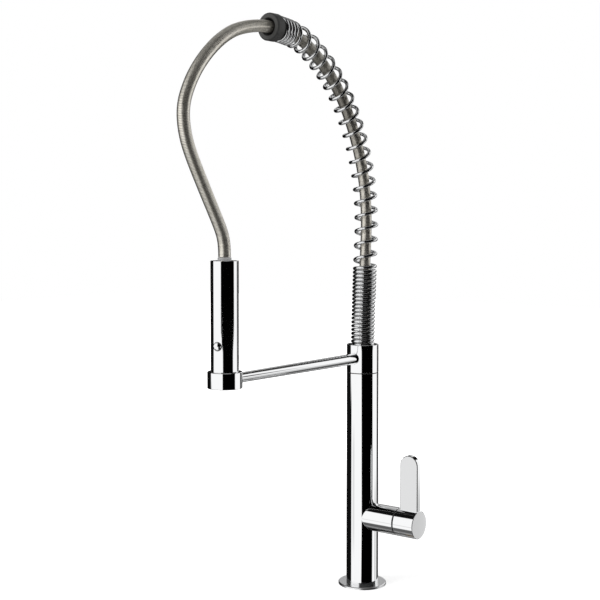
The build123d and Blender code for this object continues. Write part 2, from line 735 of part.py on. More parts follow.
with BuildPart() as nozzle_plate:
    with BuildSketch(Plane.XY.offset(ring_bottom)):
        with Locations(ring_axis):
            Circle(nose_r)
            Circle(AERATOR_D / 2 + SEAT, mode=Mode.SUBTRACT)
    extrude(amount=NOZZLE_T)
    with BuildSketch(Plane.XY.offset(ring_bottom)):
        with Locations(ring_axis):
            with PolarLocations(JET_CIRCLE_D / 2, JETS):
                Circle(JET_D / 2)
    extrude(amount=NOZZLE_LIP, mode=Mode.SUBTRACT)
keep(nozzle_plate.part, "nozzle_plate")

with BuildPart() as aerator:
    with BuildSketch(Plane.XY.offset(ring_bottom)):
        with Locations(ring_axis):
            Circle(AERATOR_D / 2)
    extrude(amount=AERATOR_L)
    with BuildSketch(Plane.XY.offset(ring_bottom)):
        with Locations(ring_axis):
            with GridLocations(AERATOR_PITCH, AERATOR_PITCH, 3, 3):
                Rectangle(AERATOR_CELL, AERATOR_CELL)
    extrude(amount=AERATOR_L, mode=Mode.SUBTRACT)
keep(aerator.part, "aerator")

with BuildPart() as check_valve:
    with BuildSketch(Plane.XY.offset(core_tube_top - CHECK_L)):
        with Locations(ring_axis):
            Circle(CHECK_D / 2)
            Circle(CHECK_BORE_D / 2, mode=Mode.SUBTRACT)
    extrude(amount=CHECK_L)
    # the closed flap across the middle of the cartridge
    with BuildSketch(Plane.XY.offset(core_tube_top - CHECK_L / 2)):
        with Locations(ring_axis):
            Circle(CHECK_BORE_D / 2 + SEAT)
    extrude(amount=CHECK_FLAP_T)
keep(check_valve.part, "check_valve")

with BuildPart() as hose_coupler:
    with BuildSketch(Plane.XY.offset(core_tube_top)):
        with Locations(ring_axis):
            Circle(COUPLER_D / 2)
            Circle(HOSE_BORE_D / 2, mode=Mode.SUBTRACT)
    extrude(amount=coupler_top - core_tube_top)
    with BuildSketch(Plane.XY.offset(ferrule_bottom)):
        with Locations(ring_axis):
            Circle(FERRULE_D / 2 + SEAT)
    extrude(amount=coupler_top - ferrule_bottom, mode=Mode.SUBTRACT)
keep(hose_coupler.part, "hose_coupler")

with BuildPart() as hose_ferrule:
    with BuildSketch(Plane.XY.offset(ferrule_bottom)):
        with Locations(ring_axis):
            Circle(FERRULE_D / 2)
            Circle(HOSE_BORE_D / 2, mode=Mode.SUBTRACT)
    extrude(amount=ferrule_top - ferrule_bottom)
    chamfer(hose_ferrule.faces().sort_by(Axis.Z)[-1].outer_wire().edges(), SPRAY_EDGE)
keep(hose_ferrule.part, "hose_ferrule")

# ================================================================ button and its spool
with BuildPart() as spray_button:
    with BuildSketch(button_plane(flange_in)):
        Circle(BUTTON_FLANGE_D / 2)
    extrude(amount=BUTTON_FLANGE_T)
    with BuildSketch(button_plane(flange_in)):
        Circle(BUTTON_D / 2)
    extrude(amount=spray_r + BUTTON_PROUD - flange_in)
    dome_rim = spray_button.edges().sort_by(lambda e: e.center().dot(button_out))[-1]
    fillet(dome_rim, BUTTON_DOME)
keep(spray_button.part, "spray_button")

with BuildPart() as diverter_spool:
    with BuildSketch(button_plane(spool_in)):
        Circle(SPOOL_D / 2)
    extrude(amount=flange_in - spool_in)
keep(diverter_spool.part, "diverter_spool")


# ================================================================ wound springs
class Route:
    """A plane route of straight runs and tangent arcs, read by its length."""

    def __init__(self, wire):
        self.wire = wire
        self.length = wire.length

    def place(self, s):
        t = min(max(s / self.length, 0.0), 1.0)
        return self.wire.position_at(t), self.wire.tangent_at(t)


def biarc(start, start_dir, end, end_dir):
    """Two tangent arcs from start to end with the given directions."""
    chord = end - start
    both = start_dir + end_dir
    bend = 2 * (1 - start_dir.dot(end_dir))
    reach = (math.sqrt(chord.dot(both) ** 2 + bend * chord.dot(chord)) - chord.dot(both)) / bend
    first = start + start_dir * reach
    second = end - end_dir * reach
    middle = (first + second) * 0.5
    TangentArc(start, middle, tangent=start_dir)
    TangentArc(middle, end, tangent=second - first)


def gap_to_itself(points, wire):
    """Least free space between each turn and the one after it, from points of the wire's axis."""
    least = arch_r
    for i, point in enumerate(points):
        for other in points[i + SAMPLES // 2:i + SAMPLES * 3 // 2]:
            least = min(least, (point - other).length)
    return least - wire


def above_sleeve(y, rise):
    """A point of the plane X = 0 at this height above the top of the sleeve."""
    return Vector(0, y, sleeve_top + rise)


# The axis of the arch: up out of the sleeve, over the top and level into the collar
arch_start = (0, 0, arch_floor)
collar_dir = Vector(0, -math.cos(math.radians(COLLAR_DIP)), -math.sin(math.radians(COLLAR_DIP)))
collar_back = above_sleeve(*COLLAR_AT)
collar_mouth = collar_back + collar_dir * COLLAR_L
arch_knots = [Vector(arch_start)] + [above_sleeve(y, rise) for y, rise in ARCH_POINTS]
arch_knots += [collar_back - collar_dir * COLLAR_LEAD, collar_mouth]


def smooth_radii(knots):
    """For each corner the radius whose bend takes its share of the shorter run."""
    radii = []
    for before, corner, after in zip(knots, knots[1:], knots[2:]):
        turn = math.radians((corner - before).get_angle(after - corner))
        shorter = min((corner - before).length, (after - corner).length)
        radii.append(BEND_SHARE * shorter / math.tan(turn / 2))
    return radii


arch_radii = smooth_radii(arch_knots)
print("arch radii", [round(r, 1) for r in arch_radii])

with BuildPart() as hose_arch:
    with BuildLine() as arch_line:
        FilletPolyline(*arch_knots, radius=arch_radii)
    with BuildSketch(Plane(origin=arch_start, z_dir=(0, 0, 1))) as arch_section:
        RegularPolygon(HOSE_D / 2, HOSE_SIDES)
        RegularPolygon(HOSE_BORE_D / 2, HOSE_SIDES, major_radius=False, mode=Mode.SUBTRACT)
    sweep(path=arch_line.wires()[0])
arch_route = Route(arch_line.wires()[0])
arch_volume = arch_section.sketch.area * arch_route.length
print("hose_arch volume share", round(hose_arch.part.volume / arch_volume, 5))
keep(hose_arch.part, "hose_arch")

# Distance along the axis against the turn count: close turns, open turns, then close turns at the collar
spring_length = arch_route.length - COLLAR_L - TANG_DROP - WIRE_D
close_length = CLOSE_PITCH * CLOSE_TURNS
end_length = END_PITCH * END_TURNS
ramp_turns = 2 * PITCH_BLEND
ramp_length = PITCH_BLEND * ((CLOSE_PITCH + OPEN_PITCH) + (OPEN_PITCH + END_PITCH)) / 2
open_length = spring_length - WIRE_D - TANG_DROP - close_length - end_length - ramp_length
open_turns = round(open_length / OPEN_PITCH)
open_pitch = open_length / open_turns
all_turns = CLOSE_TURNS + END_TURNS + ramp_turns + open_turns
print("turns", all_turns, "open pitch", round(open_pitch, 3))


def pitch_at(turn):
    """Pitch of the spring at this turn, with a short ramp between close and open turns."""
    if turn < CLOSE_TURNS:
        return CLOSE_PITCH
    if turn < CLOSE_TURNS + PITCH_BLEND:
        share = (turn - CLOSE_TURNS) / PITCH_BLEND
        return CLOSE_PITCH + (open_pitch - CLOSE_PITCH) * share
    if turn < CLOSE_TURNS + PITCH_BLEND + open_turns:
        return open_pitch
    if turn < all_turns - END_TURNS:
        share = (turn - CLOSE_TURNS - PITCH_BLEND - open_turns) / PITCH_BLEND
        return open_pitch + (END_PITCH - open_pitch) * share
    return END_PITCH


STEPS = 200  # to the turn, for the running sum of the pitch
rise = [WIRE_D + TANG_DROP]
for k in range(int(all_turns * STEPS)):
    rise.append(rise[-1] + pitch_at((k + 0.5) / STEPS) / STEPS)


def along(turn):
    """Distance along the arch's axis at this turn."""
    k = min(max(turn * STEPS, 0.0), len(rise) - 1.0)
    low = min(int(k), len(rise) - 2)
    return rise[low] + (rise[low + 1] - rise[low]) * (k - low)


# the turn is set so that a coil tip stands FIRST_TIP_RISE above the sleeve on the side FIRST_TIP_TURN
tip_turn = 0.0
while along(tip_turn) < sleeve_top + FIRST_TIP_RISE - arch_floor:
    tip_turn += 0.001
start_turn = FIRST_TIP_TURN - 360 * tip_turn


def coil_point(turn):
    """A point of the wire's axis."""
    centre, ahead = arch_route.place(along(turn))
    angle = math.radians(start_turn + 360 * turn)
    outward = Vector(1, 0, 0) * math.cos(angle) + ahead.cross(Vector(1, 0, 0)) * math.sin(angle)
    return centre + outward * arch_r


def coil_dir(turn):
    """Direction of the wire."""
    low = max(turn - NEAR, 0.0)
    high = min(turn + NEAR, all_turns)
    return (coil_point(high) - coil_point(low)).normalized()


# each end turns square to its seat within a short arc and runs straight for one wire diameter
first_point = coil_point(0)
first_dir = coil_dir(0)
tang_swing = TANG_REACH / arch_r
tang_angle = math.radians(start_turn) - tang_swing
tang_foot = Vector(arch_r * math.cos(tang_angle), arch_r * math.sin(tang_angle), arch_floor)
tang_top = tang_foot + Vector(0, 0, WIRE_D)
last_point = coil_point(all_turns)
last_dir = coil_dir(all_turns)
hook_angle = math.radians(start_turn + 360 * all_turns) + tang_swing
hook_out = Vector(1, 0, 0) * math.cos(hook_angle) + collar_dir.cross(Vector(1, 0, 0)) * math.sin(hook_angle)
hook_end = collar_back + hook_out * arch_r
hook_start = hook_end - collar_dir * WIRE_D

with BuildPart() as arch_spring:
    with BuildLine() as coil_line:
        Line(tang_foot, tang_top)
        biarc(tang_top, Vector(0, 0, 1), first_point, first_dir)
        half_turns = int(all_turns * 2)
        for half in range(half_turns):
            a = half / 2
            b = (half + 1) / 2 if half < half_turns - 1 else all_turns
            biarc(coil_point(a), coil_dir(a), coil_point(b), coil_dir(b))
        biarc(last_point, last_dir, hook_start, collar_dir)
        Line(hook_start, hook_end)
    with BuildSketch(Plane(origin=tang_foot, z_dir=(0, 0, 1))):
        RegularPolygon(WIRE_D / 2, WIRE_SIDES)
    sweep(path=coil_line.wires()[0], clean=False)
axis_points = [coil_point(k / SAMPLES) for k in range(int(all_turns * SAMPLES) + 1)]
print("arch_spring gap to itself", round(gap_to_itself(axis_points, WIRE_D), 2))
wire_section = WIRE_SIDES * (WIRE_D / 2) ** 2 * math.sin(2 * math.pi / WIRE_SIDES) / 2
wire_length = sum(e.length for e in coil_line.edges())
print("arch_spring volume share", round(arch_spring.part.volume / (wire_section * wire_length), 4))
keep(arch_spring.part, "arch_spring")

# ================================================================ collar at the end of the spring
collar_plane = Plane(origin=collar_back, x_dir=(1, 0, 0), z_dir=collar_dir)

with BuildPart() as spring_collar:
    with BuildSketch(collar_plane):
        Circle(COLLAR_D / 2)
    extrude(amount=COLLAR_L)
    chamfer(spring_collar.edges(), COLLAR_EDGE)
    with BuildSketch(collar_plane.offset(-COLLAR_SPIGOT_L)):
        Circle(COLLAR_SPIGOT_D / 2)
    extrude(amount=COLLAR_SPIGOT_L)
    with BuildSketch(collar_plane.offset(-COLLAR_SPIGOT_L)):
        Circle(HOSE_D / 2 + PLAY)
    extrude(amount=COLLAR_SPIGOT_L + COLLAR_L, mode=Mode.SUBTRACT)
    # flared mouth in which the hose can swing
    with BuildSketch(collar_plane.offset(COLLAR_L / 2)):
        Circle(HOSE_D / 2 + PLAY)
    with BuildSketch(collar_plane.offset(COLLAR_L)):
        Circle(COLLAR_MOUTH_D / 2)
    loft(mode=Mode.SUBTRACT)
keep(spring_collar.part, "spring_collar")

# ================================================================ free hose
free_end = Vector(ring_axis[0], ring_axis[1], ferrule_top + PLAY)
free_knots = [collar_mouth, collar_mouth + collar_dir * MOUTH_LEAD]
free_knots += [above_sleeve(y, rise) for y, rise in FREE_POINTS]
free_knots += [free_end + Vector(0, 0, SPRAY_LEAD), free_end]
free_radii = smooth_radii(free_knots)
print("free hose radii", [round(r, 1) for r in free_radii])

with BuildPart() as hose_free:
    with BuildLine() as free_line:
        FilletPolyline(*free_knots, radius=free_radii)
    with BuildSketch(Plane(origin=collar_mouth, x_dir=(1, 0, 0), z_dir=collar_dir)) as free_section:
        RegularPolygon(HOSE_D / 2, HOSE_SIDES)
        RegularPolygon(HOSE_BORE_D / 2, HOSE_SIDES, major_radius=False, mode=Mode.SUBTRACT)
    sweep(path=free_line.wires()[0])
free_length = sum(e.length for e in free_line.edges())
free_volume = free_section.sketch.area * free_length
print("hose_free volume share", round(hose_free.part.volume / free_volume, 5))
print("hose_free length", round(free_length, 1))
keep(hose_free.part, "hose_free")

# ================================================================ button spring
spring_r = (SPRING_D - SPRING_WIRE) / 2
spring_floor = well_floor
spring_gap = flange_in - well_floor - 2 * SPRING_WIRE
spring_base = button_plane(spring_floor + SPRING_WIRE)


def button_coil(turn):
    """A point of the button spring's axis."""
    angle = 2 * math.pi * turn
    local = Vector(spring_r * math.cos(angle), spring_r * math.sin(angle), spring_gap * turn / SPRING_TURNS)
    return spring_base.from_local_coords(local)


def button_coil_dir(turn):
    """Direction of the button spring's wire."""
    return (button_coil(turn + NEAR) - button_coil(turn - NEAR)).normalized()


with BuildPart() as button_spring:
    with BuildLine() as button_line:
        for half in range(SPRING_TURNS * 2):
            a = half / 2
            b = (half + 1) / 2
            biarc(button_coil(a), button_coil_dir(a), button_coil(b), button_coil_dir(b))
    with BuildSketch(Plane(origin=button_coil(0), z_dir=button_coil_dir(0))):
        RegularPolygon(SPRING_WIRE / 2, 4)
    sweep(path=button_line.wires()[0], clean=False)
keep(button_spring.part, "button_spring")

print("nodes", len(nodes))
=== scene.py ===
import math

import bpy
import numpy as np
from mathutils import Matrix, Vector


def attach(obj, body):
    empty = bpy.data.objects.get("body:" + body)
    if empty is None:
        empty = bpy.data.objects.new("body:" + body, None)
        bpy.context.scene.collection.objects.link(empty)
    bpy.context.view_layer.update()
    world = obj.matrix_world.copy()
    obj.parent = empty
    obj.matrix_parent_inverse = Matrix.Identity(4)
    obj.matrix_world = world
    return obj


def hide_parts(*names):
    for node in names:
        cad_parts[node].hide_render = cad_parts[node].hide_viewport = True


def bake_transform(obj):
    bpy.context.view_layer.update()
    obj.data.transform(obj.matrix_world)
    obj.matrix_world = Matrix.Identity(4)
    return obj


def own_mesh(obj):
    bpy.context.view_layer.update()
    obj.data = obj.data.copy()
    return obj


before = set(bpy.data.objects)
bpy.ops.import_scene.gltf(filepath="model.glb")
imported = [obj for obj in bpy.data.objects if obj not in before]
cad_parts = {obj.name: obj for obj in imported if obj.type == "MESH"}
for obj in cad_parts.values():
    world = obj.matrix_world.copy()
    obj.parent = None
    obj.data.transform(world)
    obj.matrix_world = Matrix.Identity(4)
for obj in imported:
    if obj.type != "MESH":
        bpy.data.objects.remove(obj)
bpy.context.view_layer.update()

MM = 0.001
FULL_TURN = 2 * math.pi


def link(thing):
    bpy.context.scene.collection.objects.link(thing)
    return thing


# ================================================================ camera
CAMERA_AT = Vector((744.3, -1109.0, 427.9)) * MM
CAMERA_YAW = 37.086
CAMERA_DOWN = 2.478
CAMERA_SENSOR = 36.0
CAMERA_LENS = 67.19
CAMERA_SHIFT = -0.04
CAMERA_SEES = (0.05, 60.0)  # nearest and farthest (m)

camera_data = bpy.data.cameras.new("camera")
camera_data.sensor_width = CAMERA_SENSOR
camera_data.lens = CAMERA_LENS
camera_data.shift_y = CAMERA_SHIFT
camera_data.clip_start, camera_data.clip_end = CAMERA_SEES
camera_data.dof.use_dof = False
camera = link(bpy.data.objects.new("camera", camera_data))
camera.location = CAMERA_AT
camera.rotation_euler = (math.radians(90.0 - CAMERA_DOWN), 0.0, math.radians(CAMERA_YAW))
bpy.context.scene.camera = camera
bpy.context.scene.view_settings.view_transform = "Standard"


# ================================================================ node helpers
BEVEL_SAMPLES = 4
# how nearly the rounded normal agrees with the plain one, on an open face and on a sharp edge
OPEN_FACE, SHARP_EDGE = 0.99, 0.80


def rgb(r, g, b):
    return (r, g, b, 1.0)


def grey(level):
    return rgb(level, level, level)


WHITE = grey(1.0)


class Tree:
    """Short ways to add nodes to a shader tree."""

    def __init__(self, tree):
        self.tree = tree
        tree.nodes.clear()

    def add(self, kind, **settings):
        node = self.tree.nodes.new(kind)
        for name, value in settings.items():
            setattr(node, name, value)
        return node

    def feed(self, socket, value):
        """Links a node's output to the socket, or sets the socket to a plain value."""
        if value is None:
            return
        if isinstance(value, bpy.types.NodeSocket):
            self.tree.links.new(value, socket)
        else:
            socket.default_value = value

    def math(self, operation, a, b=None):
        node = self.add("ShaderNodeMath", operation=operation)
        for socket, value in zip(node.inputs, (a, b)):
            self.feed(socket, value)
        return node.outputs[0]

    def vector(self, operation, a, b=None):
        node = self.add("ShaderNodeVectorMath", operation=operation)
        self.feed(node.inputs[0], a)
        self.feed(node.inputs[1], b)
        return node.outputs["Value" if operation in ("DOT_PRODUCT", "LENGTH") else "Vector"]

    def split(self, vector):
        node = self.add("ShaderNodeSeparateXYZ")
        self.feed(node.inputs[0], vector)
        return node.outputs

    def span(self, value, low, high, to_low=0.0, to_high=1.0, smooth=True):
        node = self.add("ShaderNodeMapRange")
        node.interpolation_type = "SMOOTHSTEP" if smooth else "LINEAR"
        for name, number in (("Value", value), ("From Min", low), ("From Max", high),
                             ("To Min", to_low), ("To Max", to_high)):
            self.feed(node.inputs[name], number)
        return node.outputs["Result"]

    def inside(self, value, low, high, soft):
        """1 between low and high and 0 outside them, with edges this soft."""
        half = soft / 2
        return self.math("MULTIPLY", self.span(value, low - half, low + half),
                         self.span(value, high + half, high - half))

    def mix(self, share, a, b, kind="RGBA"):
        node = self.add("ShaderNodeMix", data_type=kind)
        self.feed(node.inputs["Factor"], share)
        self.feed(node.inputs["A"], a)
        self.feed(node.inputs["B"], b)
        return node.outputs["Result"]

    def noise(self, vector, scale, detail=3.0, rough=0.55, distortion=0.0):
        node = self.add("ShaderNodeTexNoise")
        self.feed(node.inputs["Vector"], vector)
        node.inputs["Scale"].default_value = scale
        node.inputs["Detail"].default_value = detail
        node.inputs["Roughness"].default_value = rough
        node.inputs["Distortion"].default_value = distortion
        return node.outputs["Fac"]

    def streaks(self, vector, scale, detail=2.0, rough=0.55, distortion=0.0):
        """Noise with a scale of its own along each axis."""
        node = self.add("ShaderNodeMapping")
        self.feed(node.inputs["Vector"], vector)
        node.inputs["Scale"].default_value = scale
        return self.noise(node.outputs["Vector"], 1.0, detail, rough, distortion)

    def bump(self, height, strength, distance, normal=None):
        node = self.add("ShaderNodeBump")
        node.inputs["Strength"].default_value = strength
        node.inputs["Distance"].default_value = distance
        self.feed(node.inputs["Height"], height)
        self.feed(node.inputs["Normal"], normal)
        return node.outputs["Normal"]

    def soft_edge(self, radius):
        """The normal of edges as if they were broken by this radius."""
        node = self.add("ShaderNodeBevel", samples=BEVEL_SAMPLES)
        node.inputs["Radius"].default_value = radius
        return node.outputs["Normal"]

    def worn_edge(self, radius):
        """1 along sharp edges and 0 on open faces."""
        soft = self.soft_edge(radius)
        plain = self.add("ShaderNodeNewGeometry").outputs["Normal"]
        return self.span(self.vector("DOT_PRODUCT", soft, plain), OPEN_FACE, SHARP_EDGE)


# ================================================================ light
TOWARD_CAMERA = Vector((CAMERA_AT.x, CAMERA_AT.y, 0.0)).normalized()
IMAGE_RIGHT = Vector((-TOWARD_CAMERA.y, TOWARD_CAMERA.x, 0.0))
STRAIGHT_UP = (0.0, 0.0, 1.0)

BACK = 185.0  # past 180, so no soft edge shows behind the object
POLE = 100.0  # past 90, so none shows straight above or below it
BLACK = 0.005
PLAIN_PANEL = 1.0

# the studio that polished metal shows: panels by bearing from the camera's side (right is +) and by height,
# both in degrees: bearing from, to, height from, to, brightness, softness of its edges
PANELS = [
    (-BACK, BACK, 50.0, POLE, 0.04, 6.0),
    (-BACK, BACK, -POLE, -50.0, 0.06, 8.0),
    (-75.0, 110.0, 68.0, POLE, 0.30, 8.0),
    (-110.0, 110.0, -POLE, -69.0, 0.32, 8.0),
    (-BACK, -140.0, -POLE, -50.0, 0.34, 10.0),
    (140.0, BACK, -POLE, -50.0, 0.34, 10.0),
    (-BACK, -58.0, -64.0, -34.0, 0.26, 3.0),
    (-94.0, -72.0, -54.0, -37.0, 0.11, 3.0),
    (-76.0, -60.0, -16.0, -10.5, 0.79, 2.0),
    (-BACK, -96.0, -34.0, 3.0, BLACK, 3.0),
    (-BACK, -88.0, -34.0, -8.4, BLACK, 2.0),
    (-158.0, -96.0, 0.0, 14.0, BLACK, 3.0),
    (124.0, BACK, -44.0, 3.0, 0.09, 3.0),
    (77.0, 124.0, -50.0, -19.0, 0.05, 3.0),
    (100.0, 116.0, -90.0, -13.0, 0.62, 2.0),
    (-162.0, -88.0, 13.0, 40.0, BLACK, 3.0),
    (-BACK, -119.0, 40.0, 66.0, 0.36, 4.0),
    (-118.0, -79.0, 42.0, 66.0, BLACK, 3.0),
    (77.0, 108.0, 6.0, 50.0, BLACK, 4.0),
    (125.0, 166.0, 29.0, 46.0, 0.003, 3.0),
    (166.0, BACK, 13.5, 46.0, 0.48, 3.0),
    (-BACK, -162.0, 13.5, 40.0, 0.50, 3.0),
    (150.0, BACK, -34.0, 13.5, BLACK, 3.0),
    (-BACK, -150.0, -34.0, 13.5, BLACK, 3.0),
    (138.0, BACK, -46.0, -22.0, 0.24, 3.0),
]

# the dark panel in front: wider on both sides above a step in its height, and dark grey in two strips of it
FRONT_STEP = (-6.3, -5.3)
FRONT_LEFT, FRONT_LEFT_MORE = -8.0, 16.0
FRONT_RIGHT, FRONT_RIGHT_MORE = 77.0, 12.0
FRONT_EDGE = 1.2
FRONT_HEIGHTS = (-66.0, 60.0)
FRONT_STRIPS = ((32.0, 42.0), (-44.0, -34.0))
FRONT_SOFT = 4.0
FRONT_BLACK, FRONT_STRIP_GREY = 0.0004, 0.05

ROOM_LIGHT = 0.66  # what the world gives to all that isn't mirrored
PAPER_WHITE = 1.0  # what the camera sees behind the object

world = bpy.data.worlds.new("studio")
bpy.context.scene.world = world
world.use_nodes = True
w = Tree(world.node_tree)
ray = w.add("ShaderNodeTexCoord").outputs["Generated"]
bearing = w.math("DEGREES", w.math("ARCTAN2", w.vector("DOT_PRODUCT", ray, IMAGE_RIGHT),
                                   w.vector("DOT_PRODUCT", ray, TOWARD_CAMERA)))
height = w.math("DEGREES", w.math("ARCSINE", w.vector("DOT_PRODUCT", ray, STRAIGHT_UP)))
studio = PLAIN_PANEL
for left, right, low, high, bright, soft in PANELS:
    cover = w.math("MULTIPLY", w.inside(bearing, left, right, soft), w.inside(height, low, high, soft))
    studio = w.mix(cover, studio, bright, "FLOAT")

flare = w.span(height, *FRONT_STEP, smooth=False)
left = w.math("SUBTRACT", FRONT_LEFT, w.math("MULTIPLY", flare, FRONT_LEFT_MORE))
right = w.math("ADD", FRONT_RIGHT, w.math("MULTIPLY", flare, FRONT_RIGHT_MORE))
sides = w.math("MULTIPLY", w.span(w.math("SUBTRACT", bearing, left), -FRONT_EDGE, FRONT_EDGE),
               w.span(w.math("SUBTRACT", bearing, right), FRONT_EDGE, -FRONT_EDGE))
strips = w.math("MAXIMUM", *[w.inside(height, low, high, FRONT_SOFT) for low, high in FRONT_STRIPS])
cover = w.math("MULTIPLY", sides, w.inside(height, *FRONT_HEIGHTS, FRONT_SOFT))
front = w.span(strips, 0.0, 1.0, FRONT_BLACK, FRONT_STRIP_GREY, smooth=False)
studio = w.mix(cover, studio, front, "FLOAT")

path = w.add("ShaderNodeLightPath")
mirrored = w.math("MAXIMUM", path.outputs["Is Glossy Ray"], path.outputs["Is Transmission Ray"])
strength = w.mix(mirrored, ROOM_LIGHT, studio, "FLOAT")
strength = w.mix(path.outputs["Is Camera Ray"], strength, PAPER_WHITE, "FLOAT")
background = w.add("ShaderNodeBackground")
w.feed(background.inputs["Color"], WHITE)
w.feed(background.inputs["Strength"], strength)
w.feed(w.add("ShaderNodeOutputWorld").inputs["Surface"], background.outputs[0])

LAMP_AIM = Vector((0.0, -0.1, 0.3))
# name, place and diameter (m), power (W)
LAMPS = [
    ("key_light", Vector((-0.9, -1.7, 1.9)), 1.4, 21.0),
    ("fill_light", Vector((1.9, 0.2, 1.5)), 1.6, 9.0),
]
for name, at, across, power in LAMPS:
    data = bpy.data.lights.new(name, "AREA")
    data.shape = "DISK"
    data.size = across
    data.energy = power
    lamp = link(bpy.data.objects.new(name, data))
    lamp.location = at
    lamp.rotation_euler = (LAMP_AIM - at).to_track_quat("-Z", "Y").to_euler()
    lamp.visible_glossy = False


# ================================================================ floor
FLOOR_ACROSS, FLOOR_CELLS = 9.0, 6
FLOOR_GLOW = 0.44  # near the object, so that its shadow still shows
FLOOR_FADE = (0.30, 1.00)  # from here to there the floor turns to the background's white (m)
FLOOR_GRAIN = 30.0
FLOOR_TONES = (grey(0.80), grey(0.79))


def grid_mesh(name, across, cells):
    side = np.linspace(-across / 2, across / 2, cells + 1)
    xs, ys = np.meshgrid(side, side, indexing="ij")
    points = np.stack([xs, ys, np.zeros_like(xs)], axis=-1).reshape(-1, 3)
    step = cells + 1
    firsts = [i * step + j for i in range(cells) for j in range(cells)]
    mesh = bpy.data.meshes.new(name)
    mesh.from_pydata(points.tolist(), [], [(a, a + step, a + step + 1, a + 1) for a in firsts])
    return mesh


floor = link(bpy.data.objects.new("floor", grid_mesh("floor", FLOOR_ACROSS, FLOOR_CELLS)))
floor.visible_glossy = False
floor.visible_transmission = False
floor_material = bpy.data.materials.new("floor")
floor_material.use_nodes = True
t = Tree(floor_material.node_tree)
place = t.add("ShaderNodeTexCoord").outputs["Object"]
far = t.span(t.vector("LENGTH", place), *FLOOR_FADE)
matt = t.add("ShaderNodeBsdfDiffuse")
t.feed(matt.inputs["Color"], t.mix(t.noise(place, FLOOR_GRAIN), *FLOOR_TONES))
glow = t.add("ShaderNodeEmission")
t.feed(glow.inputs["Color"], WHITE)
by_eye = t.add("ShaderNodeLightPath").outputs["Is Camera Ray"]
t.feed(glow.inputs["Strength"],
       t.math("MULTIPLY", by_eye, t.span(far, 0.0, 1.0, FLOOR_GLOW, PAPER_WHITE, smooth=False)))
both = t.add("ShaderNodeAddShader")
t.feed(both.inputs[0], matt.outputs[0])
t.feed(both.inputs[1], glow.outputs[0])
t.feed(t.add("ShaderNodeOutputMaterial").inputs["Surface"], both.outputs[0])
floor.data.materials.append(floor_material)


# ================================================================ routes of the hose
ROUTE_STEPS = 48
READ_STEP = 0.8 * MM

# the hose's control points in the plane of the arch: y and z (mm)
ARCH_LINE = [
    (0.0, 285.0), (0.0, 309.0), (2.2, 345.0), (4.4, 390.0), (8.0, 436.0), (2.2, 487.0), (-17.2, 537.0),
    (-47.5, 583.0), (-84.5, 614.6), (-133.512, 640.590), (-180.496, 639.360),
]
FREE_LINE = [
    (-180.496, 639.360), (-194.491, 638.993), (-229.7, 631.0), (-253.3, 618.8), (-274.3, 602.4),
    (-291.3, 584.1), (-303.2, 566.0), (-311.4, 546.0), (-310.6, 525.0), (-303.3, 503.5), (-282.3, 468.0),
    (-262.7, 436.5), (-253.9, 420.9), (-251.0, 408.2), (-251.0, 398.0),
]


def unit(vectors):
    return vectors / np.linalg.norm(vectors, axis=1)[:, None]


def lengths_along(points):
    """The distance from the first point to each one, along the line."""
    return np.concatenate([[0.0], np.cumsum(np.linalg.norm(np.diff(points, axis=0), axis=1))])


def route(name, points_mm):
    """Reads a smooth line through the plane of the arch and gives its points and lengths."""
    data = bpy.data.curves.new(name, "CURVE")
    data.dimensions = "3D"
    spline = data.splines.new("NURBS")
    spline.points.add(len(points_mm) - 1)
    for point, (y, z) in zip(spline.points, points_mm):
        point.co = (0.0, y * MM, z * MM, 1.0)
    spline.order_u = 3
    spline.use_endpoint_u = True
    spline.resolution_u = ROUTE_STEPS
    holder = link(bpy.data.objects.new(name, data))
    bpy.context.view_layer.update()
    line = bpy.data.meshes.new_from_object(holder)
    points = np.array([v.co[:] for v in line.vertices])
    bpy.data.objects.remove(holder)
    bpy.data.meshes.remove(line)
    bpy.data.curves.remove(data)
    return points, lengths_along(points)


def read_route(points, lengths, at):
    """Points and directions of a route at these distances along it."""
    def place_at(distance):
        return np.stack([np.interp(distance, lengths, points[:, k]) for k in range(3)], axis=-1)

    last = lengths[-1]
    at = np.clip(at, 0.0, last)
    ahead = place_at(np.minimum(at + READ_STEP, last))
    behind = place_at(np.maximum(at - READ_STEP, 0.0))
    return place_at(at), unit(ahead - behind)


arch_points, arch_lengths = route("arch_line", ARCH_LINE)
free_points, free_lengths = route("free_line", FREE_LINE)
ARCH_L = arch_lengths[-1] / MM


# ================================================================ tubes
def frames_along(directions):
    """Two unit vectors across each direction, carried along without twist."""
    across = np.zeros_like(directions)
    side = np.array([1.0, 0.0, 0.0])
    for i, direction in enumerate(directions):
        side = side - np.dot(side, direction) * direction
        side = side / np.linalg.norm(side)
        across[i] = side
    return across, np.cross(directions, across)


